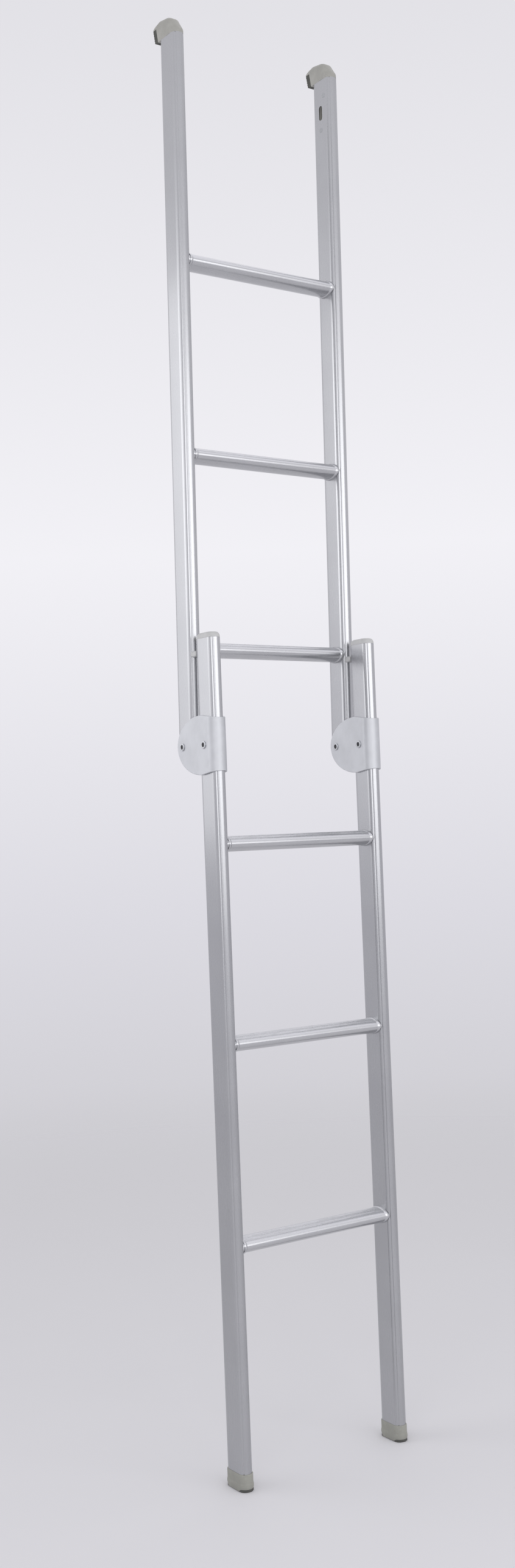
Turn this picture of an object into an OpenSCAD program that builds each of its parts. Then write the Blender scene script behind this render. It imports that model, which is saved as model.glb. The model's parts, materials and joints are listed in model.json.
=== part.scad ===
// Two-section folding ladder with oval tubular stiles, three oval rungs in each section,
// side hinges, padded top caps and rubber-soled feet. The lower section stands upright on
// z = 0 with its stiles along Z. The upper section rests behind it and tips forward by
// sag_angle about the hinge pins, which is where the stop buffers hold it.

/* [Ladder] */
// Spacing of the rungs, centre to centre
rung_pitch = 280; // [260:1:300]
// Distance between the middles of the two stiles
stile_spacing = 275; // [250:1:320]
// Height of the lowest rung above the floor
first_rung_height = 331; // [320:1:345]
// Length of stile above the topmost rung
top_length = 322; // [310:1:340]
// How far the upper section tips forward of the lower one at rest, degrees
sag_angle = 1.2; // [1:0.1:1.4]

/* [Stile tube] */
// Width of a stile across the ladder
stile_w = 20; // [19:0.5:21]
// Depth of a stile, front to back
stile_d = 44; // [43:0.5:46]
// Wall thickness of a stile
stile_wall = 1.8; // [1.5:0.1:2.2]

/* [Rung tube] */
// Height of a rung's oval section
rung_h = 22; // [20:0.5:24]
// Depth of a rung's oval section
rung_d = 37; // [34:0.5:38]
// Wall thickness of a rung
rung_wall = 1.6; // [1.4:0.1:2]
// Length of a rung inside each stile
rung_insert = 7.5; // [6:0.5:8]

/* [Hinge] */
// Gap between the two sections' stiles
section_gap = 12; // [11:0.5:13]
// Thickness of a bracket's cheek behind the lower stile
cheek_t = 3; // [2.5:0.1:3.5]
// Half the height of a bracket at its tallest
bracket_half_h = 42; // [38:1:46]
// Reach of a bracket behind the pivot
bracket_reach = 14; // [12:1:16]
// Radius of the hinge pins
pin_r = 4; // [3.5:0.1:4.5]
// Radius of a pin's head
pin_head_r = 5.5; // [5:0.1:7]
// Length of the lower stile above the pivot
overlap_top = 150; // [145:1:160]
// Height of the stop buffers above the pivot
buffer_height = 131.5; // [120:0.5:135]

/* [Ends] */
// Height of a top cap
cap_h = 30; // [29:1:34]
// Height of a foot with its sole
foot_h = 24; // [20:1:30]
// Thickness of a foot's sole
sole_t = 4; // [3:0.5:5]

/* [Hidden] */
$fn = 64;

rungs_per_section = 3;
pin_offset = stile_d + section_gap;
hinge_z = first_rung_height + (rungs_per_section - 0.5) * rung_pitch;
stile_top = (rungs_per_section - 0.5) * rung_pitch + top_length;
stile_end = -12;

// Clearances: fit between pieces that stay together, and play beside the swinging stile
fit = 0.05;
snug = 0.2;
cheek_play = 1.1;
cheek_inner = stile_w / 2 + cheek_play;
bracket_half_w = cheek_inner + cheek_t;
sleeve_front = 2;
head_h = 1.6;
socket_r = 3.2;
socket_depth = 1.2;
bush_r = 7;
washer_r = 12;
washer_t = 0.8;

// The box around the whole ladder is centred on the Y axis
front_y = -(stile_d / 2 + sleeve_front);
back_y = pin_offset + stile_d / 2 * cos(sag_angle) - (stile_end - 2) * sin(sag_angle);
y_shift = -(front_y + back_y) / 2;

bore_length = 4 * stile_w;

// ---- shared outlines and placing ----

module stadium(w, d) {
    square([w, d - w], center = true);
    for (end = [-1, 1])
        translate([0, end * (d - w) / 2]) circle(d = w);
}

function oval_points(w, h, steps = 48) =
    [for (i = [0 : steps - 1]) [w / 2 * cos(360 * i / steps), h / 2 * sin(360 * i / steps)]];

module oval(w, h) {
    polygon(oval_points(w, h));
}

// Turns an outline drawn in (Y, Z) into a plate of the given width, centred on X = 0
module across(width) {
    rotate([90, 0, 90]) linear_extrude(width, center = true) children();
}

module bore_x(r, y, z, length = bore_length) {
    translate([0, y, z]) rotate([0, 90, 0]) cylinder(r = r, h = length, center = true);
}

// Lower pieces are drawn about the lower stile's middle, with Z measured from the pins
module lower_frame() {
    translate([0, y_shift, hinge_z]) children();
}

// Upper pieces are drawn about the upper stile's middle, with Z measured from the pins
module upper_frame() {
    translate([0, y_shift + pin_offset, hinge_z]) rotate([sag_angle, 0, 0]) children();
}

module at_left() {
    translate([-stile_spacing / 2, 0, 0]) children();
}

module at_right() {
    mirror([1, 0, 0]) at_left() children();
}

// ---- stiles and rungs ----

module tube(z0, z1) {
    translate([0, 0, z0]) linear_extrude(z1 - z0) difference() {
        stadium(stile_w, stile_d);
        stadium(stile_w - 2 * stile_wall, stile_d - 2 * stile_wall);
    }
}

// Opening in a left stile's inner wall that a rung passes through
module rung_socket(z) {
    translate([stile_w / 2 - rung_insert - snug, 0, z])
        rotate([90, 0, 90])
            linear_extrude(rung_insert + 1) oval(rung_d + 2 * snug, rung_h + 2 * snug);
}

latch_z = stile_top - 50;
latch_w = 8;
latch_l = 22;
rivet_r = 2;
rivet_places = [[-8, stile_top - 25], [0, stile_top - 76]];

module latch_slot(depth) {
    translate([stile_w / 2 - depth, 0, latch_z]) rotate([90, 0, 90])
        linear_extrude(depth + 1) stadium(latch_w, latch_l);
}

module rivet_bores(r, x0, x1) {
    for (p = rivet_places)
        translate([x0, p[0], p[1]]) rotate([0, 90, 0]) cylinder(r = r, h = x1 - x0);
}

module upper_stile() {
    color("silver") difference() {
        tube(stile_end, stile_top);
        for (i = [0 : rungs_per_section - 1])
            rung_socket((i + 0.5) * rung_pitch);
        bore_x(bush_r + fit, 0, 0);
        latch_slot(stile_w / 2);
        rivet_bores(rivet_r + fit, 0, stile_w);
    }
}

module lower_stile() {
    color("silver") difference() {
        tube(sole_t + 5 - hinge_z, overlap_top);
        for (i = [0 : rungs_per_section - 1])
            rung_socket(-(i + 0.5) * rung_pitch);
        bore_x(pin_r + fit, 0, 0);
    }
}

module rung(z) {
    length = stile_spacing - stile_w + 2 * rung_insert;
    color("silver") translate([0, 0, z]) across(length) difference() {
        oval(rung_d, rung_h);
        oval(rung_d - 2 * rung_wall, rung_h - 2 * rung_wall);
    }
}

// ---- top caps with their pads ----

hood_z = 21;
lug_reach = 36;
pad_outline = [[22.5, 0], [31.465, 1.5], [lug_reach, hood_z], [27, hood_z]];
spigot_l = 85;
spigot_gap = 0.2;

module cap_profile() {
    difference() {
        union() {
            hull() {
                translate([-12, 2]) circle(r = 10);
                translate([3, cap_h - 20]) circle(r = 17.5);
                translate([18, cap_h - 12]) circle(r = 12);
                translate([lug_reach - 9, cap_h - 11]) circle(r = 9);
            }
            translate([-stile_d / 2, 0]) square([stile_d, 3]);
        }
        polygon([[22.5, -20], pad_outline[0], pad_outline[3], [60, hood_z], [60, -20]]);
        translate([-stile_d, -20]) square([2 * stile_d, 20]);
    }
}

// Seen from above: the stile's round nose in front, a squarer lug behind
module cap_plan() {
    translate([0, 12 - stile_d / 2 - 2]) circle(d = stile_w);
    translate([-stile_w / 2, -12]) square([stile_w, 12 + lug_reach - 4]);
    translate([-stile_w / 2 + 4, lug_reach - 5]) square([stile_w - 8, 5]);
    for (side = [-1, 1])
        translate([side * (stile_w / 2 - 4), lug_reach - 4]) circle(r = 4);
}

module top_cap() {
    color([0.62, 0.62, 0.6]) difference() {
        union() {
            intersection() {
                translate([0, 0, stile_top]) across(stile_w) cap_profile();
                translate([0, 0, stile_top - 1]) linear_extrude(cap_h + 2) cap_plan();
            }
            translate([0, 0, stile_top - spigot_l]) linear_extrude(spigot_l)
                stadium(stile_w - 2 * stile_wall - 2 * spigot_gap, stile_d - 2 * stile_wall - 2 * spigot_gap);
        }
        rivet_bores(rivet_r + fit, stile_w / 2 - 7, stile_w);
        latch_slot(stile_wall + 4);
    }
}

module rest_pad() {
    color([0.2, 0.2, 0.2]) translate([0, 0, stile_top])
        across(stile_w - 1) polygon(pad_outline);
}

module rivet_set() {
    color([0.6, 0.6, 0.62]) {
        rivet_bores(rivet_r, stile_w / 2 - 6.5, stile_w / 2);
        rivet_bores(rivet_r + 1.6, stile_w / 2, stile_w / 2 + 0.9);
    }
}

module upper_end_plug() {
    color([0.25, 0.25, 0.26]) {
        translate([0, 0, stile_end - 2]) linear_extrude(2) stadium(stile_w, stile_d);
        translate([0, 0, stile_end]) linear_extrude(4)
            stadium(stile_w - 2 * stile_wall - 2 * fit, stile_d - 2 * stile_wall - 2 * fit);
    }
}

// ---- hinge ----

module pivot_bush() {
    color([0.85, 0.85, 0.8]) rotate([0, 90, 0]) difference() {
        cylinder(r = bush_r, h = stile_w, center = true);
        cylinder(r = pin_r + fit, h = bore_length, center = true);
    }
}

module washer_pair() {
    color([0.85, 0.85, 0.8])
        for (side = [-1, 1])
            translate([side * (stile_w + washer_t) / 2, 0, 0]) rotate([0, 90, 0]) difference() {
                cylinder(r = washer_r, h = washer_t, center = true);
                cylinder(r = pin_r + 3 * fit, h = bore_length, center = true);
            }
}

buffer_h = 8;
buffer_w = 15;

// The buffer fills the gap left by the forward lean, less a small clearance
module stop_buffer() {
    depth = section_gap - buffer_height * sin(sag_angle) - 0.35;
    nose_depth = 8;
    color([0.75, 0.75, 0.76]) difference() {
        translate([-buffer_w / 2, -stile_d / 2 - depth, buffer_height - buffer_h / 2])
            cube([buffer_w, depth + nose_depth, buffer_h]);
        translate([0, 0, buffer_height - buffer_h]) linear_extrude(2 * buffer_h)
            stadium(stile_w + 2 * fit, stile_d + 2 * fit);
    }
}

ellipse_centre = 8;
front_half_h = 37.5;

function bracket_arc(steps = 36) =
    [for (i = [0 : steps]) let (a = -90 + 180 * i / steps)
        [ellipse_centre + (pin_offset + bracket_reach - ellipse_centre) * cos(a), bracket_half_h * sin(a)]];

module bracket_side() {
    front = -stile_d / 2 - sleeve_front;
    polygon(concat([[front, -front_half_h]], bracket_arc(), [[front, front_half_h]]));
}

module bracket_plan() {
    corner = 13.5;
    front = -stile_d / 2 - sleeve_front;
    depth = pin_offset + bracket_reach + 1 - front;
    translate([-bracket_half_w, front + corner]) square([2 * bracket_half_w, depth - corner]);
    translate([-bracket_half_w + corner, front]) square([2 * (bracket_half_w - corner), depth]);
    for (side = [-1, 1])
        translate([side * (bracket_half_w - corner), front + corner]) circle(r = corner);
}

module hinge_bracket() {
    color([0.8, 0.81, 0.83]) difference() {
        intersection() {
            linear_extrude(3 * bracket_half_h, center = true) bracket_plan();
            across(3 * stile_w) bracket_side();
        }
        linear_extrude(3 * bracket_half_h, center = true) stadium(stile_w + 2 * fit, stile_d + 2 * fit);
        translate([-cheek_inner, (stile_d - stile_w) / 2, -2 * bracket_half_h])
            cube([2 * cheek_inner, 2 * pin_offset, 4 * bracket_half_h]);
        bore_x(pin_r + fit / 2, 0, 0);
        bore_x(pin_r + fit / 2, pin_offset, 0);
    }
}

// A pin through both cheeks with a socketed head at each end
module headed_pin(y) {
    half = bracket_half_w + head_h;
    color([0.5, 0.5, 0.52]) translate([0, y, 0]) rotate([0, 90, 0]) difference() {
        union() {
            cylinder(r = pin_r, h = 2 * half - 1, center = true);
            for (side = [-1, 1])
                translate([0, 0, side * (half - head_h / 2)])
                    cylinder(r = pin_head_r, h = head_h, center = true);
        }
        for (side = [-1, 1])
            translate([0, 0, side * half]) cylinder(r = socket_r, h = 2 * socket_depth, center = true);
    }
}

// ---- lower ends ----

module lower_end_cap() {
    head = 8;
    corner = 7;
    color([0.62, 0.62, 0.6]) {
        intersection() {
            translate([0, 0, overlap_top]) linear_extrude(head) stadium(stile_w, stile_d);
            translate([0, 0, overlap_top]) across(stile_w + 2) union() {
                translate([-stile_d / 2, 0]) square([stile_d, head - corner]);
                translate([-stile_d / 2 + corner, 0]) square([stile_d - 2 * corner, head]);
                for (side = [-1, 1])
                    translate([side * (stile_d / 2 - corner), head - corner]) circle(r = corner);
            }
        }
        translate([0, 0, overlap_top - 20]) linear_extrude(20)
            stadium(stile_w - 2 * stile_wall - 2 * fit, stile_d - 2 * stile_wall - 2 * fit);
    }
}

shoe_wall = 1.3;

module foot_cap() {
    floor_t = 5;
    color([0.62, 0.62, 0.6]) translate([0, 0, sole_t - hinge_z]) difference() {
        linear_extrude(foot_h - sole_t) stadium(stile_w + 2 * shoe_wall, stile_d + 2 * shoe_wall);
        translate([0, 0, floor_t]) linear_extrude(foot_h)
            stadium(stile_w + 2 * fit, stile_d + 2 * fit);
    }
}

groove_w = 3;
groove_depth = 1.2;
groove_pitch = 8;

module foot_sole() {
    color([0.2, 0.2, 0.2]) translate([0, 0, -hinge_z]) difference() {
        linear_extrude(sole_t) stadium(stile_w + 2 * shoe_wall, stile_d + 2 * shoe_wall);
        for (i = [-1.5 : 1.5])
            translate([-stile_w, i * groove_pitch - groove_w / 2, -1])
                cube([2 * stile_w, groove_w, groove_depth + 1]);
    }
}

// ---- nodes ----

upper_frame() at_left() upper_stile();  // upper_stile_left
upper_frame() at_right() upper_stile();  // upper_stile_right
upper_frame() rung(2.5 * rung_pitch);  // rung_1
upper_frame() rung(1.5 * rung_pitch);  // rung_2
upper_frame() rung(0.5 * rung_pitch);  // rung_3
upper_frame() at_left() top_cap();  // top_cap_left
upper_frame() at_right() top_cap();  // top_cap_right
upper_frame() at_left() rest_pad();  // rest_pad_left
upper_frame() at_right() rest_pad();  // rest_pad_right
upper_frame() {  // cap_rivets
    at_left() rivet_set();
    at_right() rivet_set();
}
upper_frame() at_left() upper_end_plug();  // upper_end_plug_left
upper_frame() at_right() upper_end_plug();  // upper_end_plug_right
upper_frame() at_left() pivot_bush();  // pivot_bush_left
upper_frame() at_right() pivot_bush();  // pivot_bush_right
upper_frame() {  // pivot_washers
    at_left() washer_pair();
    at_right() washer_pair();
}
upper_frame() at_left() stop_buffer();  // stop_buffer_left
upper_frame() at_right() stop_buffer();  // stop_buffer_right
lower_frame() at_left() lower_stile();  // lower_stile_left
lower_frame() at_right() lower_stile();  // lower_stile_right
lower_frame() rung(-0.5 * rung_pitch);  // rung_4
lower_frame() rung(-1.5 * rung_pitch);  // rung_5
lower_frame() rung(-2.5 * rung_pitch);  // rung_6
lower_frame() at_left() lower_end_cap();  // lower_end_cap_left
lower_frame() at_right() lower_end_cap();  // lower_end_cap_right
lower_frame() at_left() hinge_bracket();  // hinge_bracket_left
lower_frame() at_right() hinge_bracket();  // hinge_bracket_right
lower_frame() {  // pivot_pins
    at_left() headed_pin(pin_offset);
    at_right() headed_pin(pin_offset);
}
lower_frame() {  // bracket_bolts
    at_left() headed_pin(0);
    at_right() headed_pin(0);
}
lower_frame() at_left() foot_cap();  // foot_cap_left
lower_frame() at_right() foot_cap();  // foot_cap_right
lower_frame() at_left() foot_sole();  // foot_sole_left
lower_frame() at_right() foot_sole();  // foot_sole_right
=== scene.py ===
"""A two-section folding aluminium ladder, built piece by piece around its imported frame."""

import json
import math
from functools import partial

import bmesh
import bpy
from bpy.props import FloatProperty, FloatVectorProperty, IntProperty, PointerProperty
from bpy.types import Operator, Panel, PropertyGroup
from mathutils import Matrix, Vector

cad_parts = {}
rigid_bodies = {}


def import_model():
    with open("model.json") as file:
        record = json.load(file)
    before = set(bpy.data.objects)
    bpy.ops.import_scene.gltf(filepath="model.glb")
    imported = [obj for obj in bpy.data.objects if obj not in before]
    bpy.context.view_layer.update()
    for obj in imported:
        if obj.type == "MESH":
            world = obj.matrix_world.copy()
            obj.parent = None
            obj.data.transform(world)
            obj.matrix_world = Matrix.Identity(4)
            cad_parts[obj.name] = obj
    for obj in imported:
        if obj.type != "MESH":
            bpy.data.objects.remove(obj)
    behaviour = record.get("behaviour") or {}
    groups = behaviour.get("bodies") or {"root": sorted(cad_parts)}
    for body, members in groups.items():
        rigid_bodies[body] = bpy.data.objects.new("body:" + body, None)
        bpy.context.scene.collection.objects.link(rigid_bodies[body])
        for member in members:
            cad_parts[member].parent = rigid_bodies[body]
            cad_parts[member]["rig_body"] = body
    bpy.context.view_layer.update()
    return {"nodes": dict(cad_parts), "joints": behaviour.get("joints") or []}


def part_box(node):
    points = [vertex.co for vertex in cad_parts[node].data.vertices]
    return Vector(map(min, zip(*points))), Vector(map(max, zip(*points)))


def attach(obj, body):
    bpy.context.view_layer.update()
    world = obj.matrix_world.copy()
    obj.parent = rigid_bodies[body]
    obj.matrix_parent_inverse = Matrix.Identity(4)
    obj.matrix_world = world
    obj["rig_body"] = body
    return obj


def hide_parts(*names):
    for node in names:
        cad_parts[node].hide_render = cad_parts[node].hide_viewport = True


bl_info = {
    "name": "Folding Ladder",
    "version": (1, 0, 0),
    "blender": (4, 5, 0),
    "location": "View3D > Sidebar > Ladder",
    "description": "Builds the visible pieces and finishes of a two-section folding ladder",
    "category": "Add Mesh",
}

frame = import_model()

MM = 0.001
HALF_TURN = math.pi
QUARTER_TURN = math.pi / 2
UPPER_BODY = "upper_section"


# ---- places and sizes taken from the frame ----


def middle(node):
    """Middle of a node's box."""
    low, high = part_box(node)
    return (low + high) / 2


def upper_lean():
    """Angle by which the upper section tips forward, from the line through its rungs."""
    line = middle("rung_1") - middle("rung_3")
    return math.atan2(-line.y, line.z)


PIVOT = Vector(frame["joints"][0]["pos_m"])
STILE_X = middle("lower_stile_right").x
UPPER = Matrix.Translation(PIVOT) @ Matrix.Rotation(upper_lean(), 4, "X")
LOWER = Matrix.Translation((0, middle("lower_stile_left").y, PIVOT.z))


def place_of(node):
    """Frame of the section that a node belongs to: its middle plane, with Z from the pins."""
    return UPPER if frame["nodes"][node]["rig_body"] == UPPER_BODY else LOWER


def side_place(node):
    """Frame of one stile's own axis, for a node that belongs to a stile."""
    shift = STILE_X if node.endswith("_right") else -STILE_X
    return place_of(node) @ Matrix.Translation((shift, 0, 0))


def local_box(node, place):
    """Lowest and highest corner of a node, measured in a given frame."""
    back = place.inverted()
    points = [back @ vertex.co for vertex in frame["nodes"][node].data.vertices]
    low = Vector([min(point[axis] for point in points) for axis in range(3)])
    high = Vector([max(point[axis] for point in points) for axis in range(3)])
    return low, high


LOWER_TUBE = local_box("lower_stile_left", side_place("lower_stile_left"))
UPPER_TUBE = local_box("upper_stile_left", side_place("upper_stile_left"))
STILE_HALF = LOWER_TUBE[1].x
STILE_REACH = LOWER_TUBE[1].y
TUBE_TOP = UPPER_TUBE[1].z


# ---- properties ----


def length_property(name, description, value):
    """A size in metres."""
    return FloatProperty(name=name, description=description, default=value, unit="LENGTH")


def angle_property(name, description, degrees):
    """An angle, given here in degrees."""
    value = math.radians(degrees)
    return FloatProperty(name=name, description=description, default=value, subtype="ANGLE")


def colour_property(name, description, value):
    """A colour."""
    return FloatVectorProperty(name=name, description=description, default=value, subtype="COLOR", size=3)


def power_property(name, description, value):
    """A lamp's power in watts."""
    return FloatProperty(name=name, description=description, default=value, unit="POWER")


class LadderShape(PropertyGroup):
    """Sizes of the small features, in metres."""

    stile_wall: length_property("Stile wall", "Wall thickness of a stile", 1.8 * MM)
    flute_depth: length_property("Flute depth", "Depth of the flutes along a stile's noses", 0.7 * MM)
    flute_width: length_property("Flute width", "Width of a flute", 3.2 * MM)
    flute_angle: angle_property("Flute angle", "Angle between a flute and the middle of its nose", 42)
    rung_wall: length_property("Rung wall", "Wall thickness of a rung", 1.6 * MM)
    tread_ribs: IntProperty(
        name="Tread ribs", description="Number of ribs along the top of a rung", default=9, min=3, max=15
    )
    rib_height: length_property("Rib height", "Depth of the valleys between the tread ribs", 0.45 * MM)
    collar_width: length_property("Collar width", "Width of the swaged collar at a rung's end", 4.5 * MM)
    collar_swell: length_property("Collar swell", "Height of the swaged collar above the rung", 1.3 * MM)
    cap_edge: length_property("Cap edge", "Radius of a top cap's edges", 5.0 * MM)
    plate_edge: length_property("Plate edge", "Radius of a bracket's rims", 0.8 * MM)
    foot_flare: length_property("Foot flare", "How far the toe of a foot stands out", 0.6 * MM)


class LadderFinish(PropertyGroup):
    """Colours and gloss of the finishes."""

    aluminium: colour_property("Aluminium", "Anodised aluminium of the stiles", (0.49, 0.495, 0.51))
    rung: colour_property("Rung aluminium", "Anodised aluminium of the rungs", (0.60, 0.605, 0.62))
    bracket: colour_property("Bracket", "Blasted aluminium of the brackets", (0.58, 0.59, 0.615))
    rivet: colour_property("Rivet", "Dull aluminium of the cap rivets", (0.416, 0.424, 0.44))
    steel: colour_property("Steel", "Plated steel of the pins and bolts", (0.52, 0.53, 0.55))
    # The socket colour is painted shade: it darkens the recess in each pin head.
    socket: colour_property("Socket", "Oxidised steel inside the pins' sockets", (0.06, 0.06, 0.065))
    cap: colour_property("Cap plastic", "Moulded plastic of the top caps", (0.375, 0.37, 0.35))
    buffer: colour_property("Buffer plastic", "Nylon of the buffers and lower end caps", (0.55, 0.55, 0.56))
    foot: colour_property("Foot plastic", "Moulded plastic of the feet", (0.32, 0.32, 0.29))
    plug: colour_property("Plug plastic", "Moulded plastic of the upper end plugs", (0.09, 0.09, 0.092))
    nylon: colour_property("Nylon", "Natural nylon of the bushes and washers", (0.78, 0.77, 0.72))
    rubber: colour_property("Rubber", "Rubber of the pads and soles", (0.075, 0.075, 0.07))
    gloss: FloatProperty(
        name="Aluminium roughness", description="Roughness of the anodised aluminium",
        default=0.27, min=0.05, max=0.8, subtype="FACTOR",
    )


class LadderStage(PropertyGroup):
    """Floor, lamps, backdrop and camera."""

    floor: colour_property("Floor", "Colour of the floor", (0.80, 0.79, 0.835))
    room_light: FloatProperty(
        name="Room light", description="Strength of the light from all round", default=0.66, min=0.0, max=2.0
    )
    ceiling_light: FloatProperty(
        name="Ceiling light", description="Extra brightness of the ceiling in reflections",
        default=0.65, min=0.0, max=3.0,
    )
    key_power: power_property("Key lamp", "Power of the large lamp in front", 21.0)
    fill_power: power_property("Fill lamp", "Power of the lamp in front on the left", 9.0)
    side_power: power_property("Side lamp", "Power of the lamp behind on the left", 7.5)
    near_power: power_property("Near lamp", "Power of the small lamp beside the left stile", 1.1)
    aim: FloatVectorProperty(
        name="Aim", description="Point that the camera looks at", default=(-0.0302, 0.0207, 0.9762),
        subtype="TRANSLATION", unit="LENGTH", size=3,
    )
    distance: length_property("Distance", "Camera's distance from its aim", 2.3208)
    azimuth: angle_property("Azimuth", "Camera's angle to the right of the ladder's front", -34.473)
    elevation: angle_property("Elevation", "Camera's angle above its aim", -1.538)
    roll: angle_property("Roll", "Camera's turn about its own line of sight", -2.245)
    lens: FloatProperty(
        name="Lens", description="Focal length for a 36 mm frame", default=36.335, unit="CAMERA"
    )


# ---- shader building ----


CLOUD_SPAN = (0.3, 0.7)


class Wire:
    """A shader socket that takes part in Python sums by adding Math nodes."""

    def __init__(self, shader, socket):
        self.shader = shader
        self.socket = socket

    def __add__(self, other):
        return self.shader.maths("ADD", self, other)

    __radd__ = __add__

    def __sub__(self, other):
        return self.shader.maths("SUBTRACT", self, other)

    def __rsub__(self, other):
        return self.shader.maths("SUBTRACT", other, self)

    def __mul__(self, other):
        return self.shader.maths("MULTIPLY", self, other)

    __rmul__ = __mul__


class Shader:
    """A node tree being filled in."""

    def __init__(self, tree):
        self.tree = tree
        tree.nodes.clear()

    def node(self, kind, settings=(), inputs=(), output=0):
        """Adds a node: its settings first, then the values or links of its sockets."""
        made = self.tree.nodes.new(kind)
        for name, value in dict(settings).items():
            if name == "stops":
                fill_ramp(made.color_ramp, value)
            else:
                setattr(made, name, value)
        for name, value in dict(inputs).items():
            if isinstance(value, Wire):
                self.tree.links.new(value.socket, made.inputs[name])
            else:
                made.inputs[name].default_value = value
        return Wire(self, made.outputs[output]) if made.outputs else made

    def maths(self, operation, first, second, clamp=False):
        """A Math node on two values."""
        settings = {"operation": operation, "use_clamp": clamp}
        return self.node("ShaderNodeMath", settings, {0: first, 1: second})

    def also(self, wire, name):
        """Another output of the node that a wire comes from."""
        return Wire(self, wire.socket.node.outputs[name])

    def place(self, output="Object"):
        """Coordinates that stay with the piece."""
        return self.node("ShaderNodeTexCoord", output=output)

    def axis(self, vector, name):
        """One of a vector's three parts."""
        return self.node("ShaderNodeSeparateXYZ", inputs={0: vector}, output=name)

    def stretched(self, vector, scales):
        """Coordinates stretched by a scale for each axis."""
        return self.node("ShaderNodeMapping", inputs={"Vector": vector, "Scale": scales})

    def noise(self, vector, scale, detail=3.0, roughness=0.55):
        """Soft noise from 0 to 1."""
        return self.node(
            "ShaderNodeTexNoise",
            inputs={"Vector": vector, "Scale": scale, "Detail": detail, "Roughness": roughness},
            output="Fac",
        )

    def between(self, value, low, high):
        """Rises from 0 to 1 as the value goes from low to high."""
        return self.node(
            "ShaderNodeMapRange",
            {"interpolation_type": "SMOOTHSTEP"},
            {"Value": value, "From Min": low, "From Max": high},
            output="Result",
        )

    def patches(self, vector, scale, low, high, **kind):
        """Noise cut into patches: 0 where it is below low, 1 where it is above high."""
        return self.between(self.noise(vector, scale, **kind), low, high)

    def mottled(self, clouds, base, dark, light):
        """A colour that drifts with the clouds between a darker and a lighter shade."""
        return self.blend(self.between(clouds, *CLOUD_SPAN), shade(base, dark), shade(base, light))

    def length(self, vector):
        """A vector's length."""
        return self.node("ShaderNodeVectorMath", {"operation": "LENGTH"}, {0: vector}, output="Value")

    def blend(self, factor, one, other):
        """Colour between one and other."""
        settings = {"data_type": "RGBA"}
        inputs = {0: factor, 6: colour(one), 7: colour(other)}
        return self.node("ShaderNodeMix", settings, inputs, output=2)

    def bump(self, height, distance, strength):
        """Normals that follow a height."""
        inputs = {"Height": height, "Distance": distance, "Strength": strength}
        return self.node("ShaderNodeBump", inputs=inputs, output="Normal")


def colour(value):
    """A colour with its alpha, or a wire as it is."""
    return value if isinstance(value, Wire) else (*value, 1.0)


def shade(value, amount):
    """A colour made lighter or darker."""
    return tuple(part * amount for part in value)


def swing(wire, reach):
    """A noise's swing to either side of its middle."""
    return (wire - 0.5) * reach


def fill_ramp(ramp, stops):
    """Sets a ramp's stops from (position, colour) pairs."""
    while len(ramp.elements) < len(stops):
        ramp.elements.new(1.0)
    for element, (position, value) in zip(ramp.elements, stops):
        element.position = position
        element.color = colour(value)


# ---- finishes ----


LENGTHWISE = (2400.0, 2400.0, 9.0)
CROSSWISE = (9.0, 2400.0, 2400.0)
SCUFF_STRETCH = (60.0, 420.0, 420.0)
SCRAPE_STRETCH = (300.0, 300.0, 60.0)
RING_STRETCH = 5200.0
# Softness of the edge of the painted shade in the pin sockets.
PAINTED_SOCKET_SHADE_SOFTNESS = 0.04


def drawn_metal(shader, finish, base, stretch):
    """Anodised extrusion: lines drawn along its length, faint clouds and a few rubs."""
    place = shader.place()
    lines = shader.noise(shader.stretched(place, stretch), scale=1.0, detail=4.0, roughness=0.7)
    clouds = shader.noise(place, scale=9.0)
    rubs = shader.patches(place, scale=70.0, low=0.62, high=0.74, detail=6.0, roughness=0.7)
    tone = shader.mottled(clouds, base, dark=0.96, light=1.0)
    return {
        "Base Color": shader.blend(rubs * 0.15, tone, shade(base, 0.88)),
        "Metallic": 1.0,
        "Roughness": finish.gloss + swing(lines, 0.05) + swing(clouds, 0.05) + rubs * 0.03,
        "Normal": shader.bump(lines, distance=0.02 * MM, strength=0.2),
    }


def trodden_metal(shader, finish, base, stretch):
    """Drawn metal whose top is dulled and scratched by shoes."""
    parts = drawn_metal(shader, finish, base, stretch)
    up = shader.axis(shader.place("Normal"), "Z")
    scratched = shader.stretched(shader.place(), SCUFF_STRETCH)
    scuffs = shader.patches(scratched, scale=1.0, low=0.42, high=0.62, detail=5.0, roughness=0.65)
    tread = shader.between(up, low=0.55, high=0.9) * scuffs
    parts["Base Color"] = shader.blend(tread * 0.5, parts["Base Color"], shade(base, 0.82))
    parts["Roughness"] = parts["Roughness"] + tread * 0.12
    return parts


def blasted_metal(shader, finish, base):
    """Bead-blasted aluminium: a fine even grain with faint handling marks."""
    place = shader.place()
    grain = shader.noise(place, scale=2600.0, detail=2.0)
    clouds = shader.noise(place, scale=38.0, detail=4.0)
    marks = shader.patches(place, scale=160.0, low=0.60, high=0.72, detail=5.0, roughness=0.7)
    tone = shader.mottled(clouds, base, dark=0.95, light=1.03)
    return {
        "Base Color": shader.blend(marks * 0.3, tone, shade(base, 0.86)),
        "Metallic": 0.75,
        "Roughness": 0.50 + swing(grain, 0.10) + marks * 0.06,
        "Normal": shader.bump(grain, distance=0.05 * MM, strength=0.35),
    }


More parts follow.
